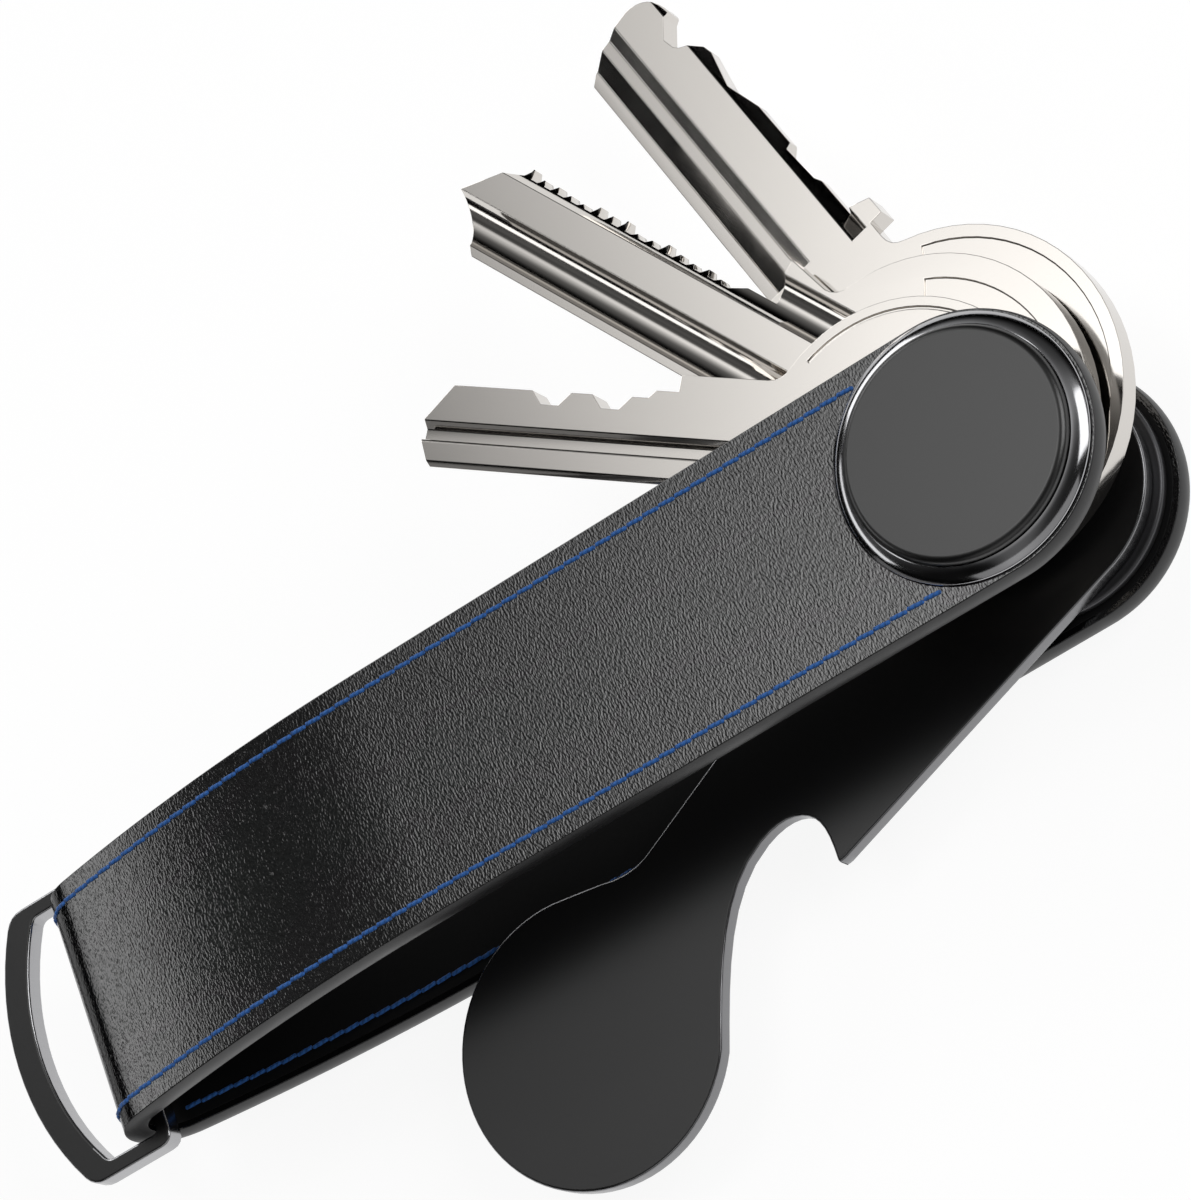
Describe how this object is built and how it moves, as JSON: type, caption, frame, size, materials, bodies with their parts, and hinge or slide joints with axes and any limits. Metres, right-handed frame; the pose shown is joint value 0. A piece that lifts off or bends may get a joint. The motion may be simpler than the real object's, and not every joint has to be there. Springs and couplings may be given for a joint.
{
  "type": "leather key case",
  "caption": "Strap of black leather folded round a screw post that carries fanned-out keys and a hooked bottle opener, with a D-ring held in the fold.",
  "frame": {"origin": "centre of the rear badge's outer face, on the axis of the screw post", "axes": "+Z along the post towards the front cap, -X along the strap towards the fold and its D-ring, +Y to the side where the keys swing out"},
  "size_m": [0.1096, 0.086, 0.0209],
  "materials": {
    "leather": "fine pebble grain, satin",
    "lining": "smooth, matte",
    "thread": "twisted thread",
    "bezel": "dark chrome, polished",
    "badge": "satin",
    "post": "machined",
    "collar": "satin",
    "nylon": "matte",
    "nickel": "nickel plate, satin",
    "black_steel": "black satin with bright edges"
  },
  "bodies": {
    "case": {"leather_strap": "leather", "strap_lining": "lining", "upper_edge_stitching": "thread", "lower_edge_stitching": "thread", "front_cap": "bezel", "front_badge": "badge", "post_barrel": "post", "front_collar": "collar", "lower_washer": "nylon", "upper_washer": "nylon", "opener_spacer": "nylon", "rear_collar": "collar"},
    "rear_cap": {"rear_cap": "bezel"},
    "post_screw": {"post_screw": "post", "rear_badge": "badge"},
    "key_lower": {"key_lower": "nickel"},
    "key_middle": {"key_middle": "nickel"},
    "key_upper": {"key_upper": "nickel"},
    "opener": {"bottle_opener": "black_steel"},
    "d_ring": {"d_ring": "black_steel"}
  },
  "joints": [
    {"name": "rear_cap_lift", "type": "slide", "parent": "case", "child": "rear_cap", "axis": [0, 0, -1], "range_m": [0, 0.001]},
    {"name": "screw_turn", "type": "hinge", "parent": "rear_cap", "child": "post_screw", "pos_m": [0, 0, 0], "axis": [0, 0, -1], "range_deg": [0, 720]},
    {"name": "key_lower_swing", "type": "hinge", "parent": "case", "child": "key_lower", "pos_m": [0, 0, 0.01535], "axis": [0, 0, 1], "range_deg": [-145.1, 34.9]},
    {"name": "key_middle_swing", "type": "hinge", "parent": "case", "child": "key_middle", "pos_m": [0, 0, 0.01235], "axis": [0, 0, 1], "range_deg": [-123, 57]},
    {"name": "key_upper_swing", "type": "hinge", "parent": "case", "child": "key_upper", "pos_m": [0, 0, 0.00935], "axis": [0, 0, 1], "range_deg": [-104.5, 75.5]},
    {"name": "opener_swing", "type": "hinge", "parent": "case", "child": "opener", "pos_m": [0, 0, 0.0056], "axis": [0, 0, -1], "range_deg": [-157.7, 22.3]},
    {"name": "ring_swing", "type": "hinge", "parent": "case", "child": "d_ring", "pos_m": [-0.08627, 0, 0.01045], "axis": [0, 1, 0], "range_deg": [-105, 105]}
  ],
  "couplings": [
    {"joint": "rear_cap_lift", "follows": "screw_turn", "m_per_rad": 0.00007957}
  ]
}
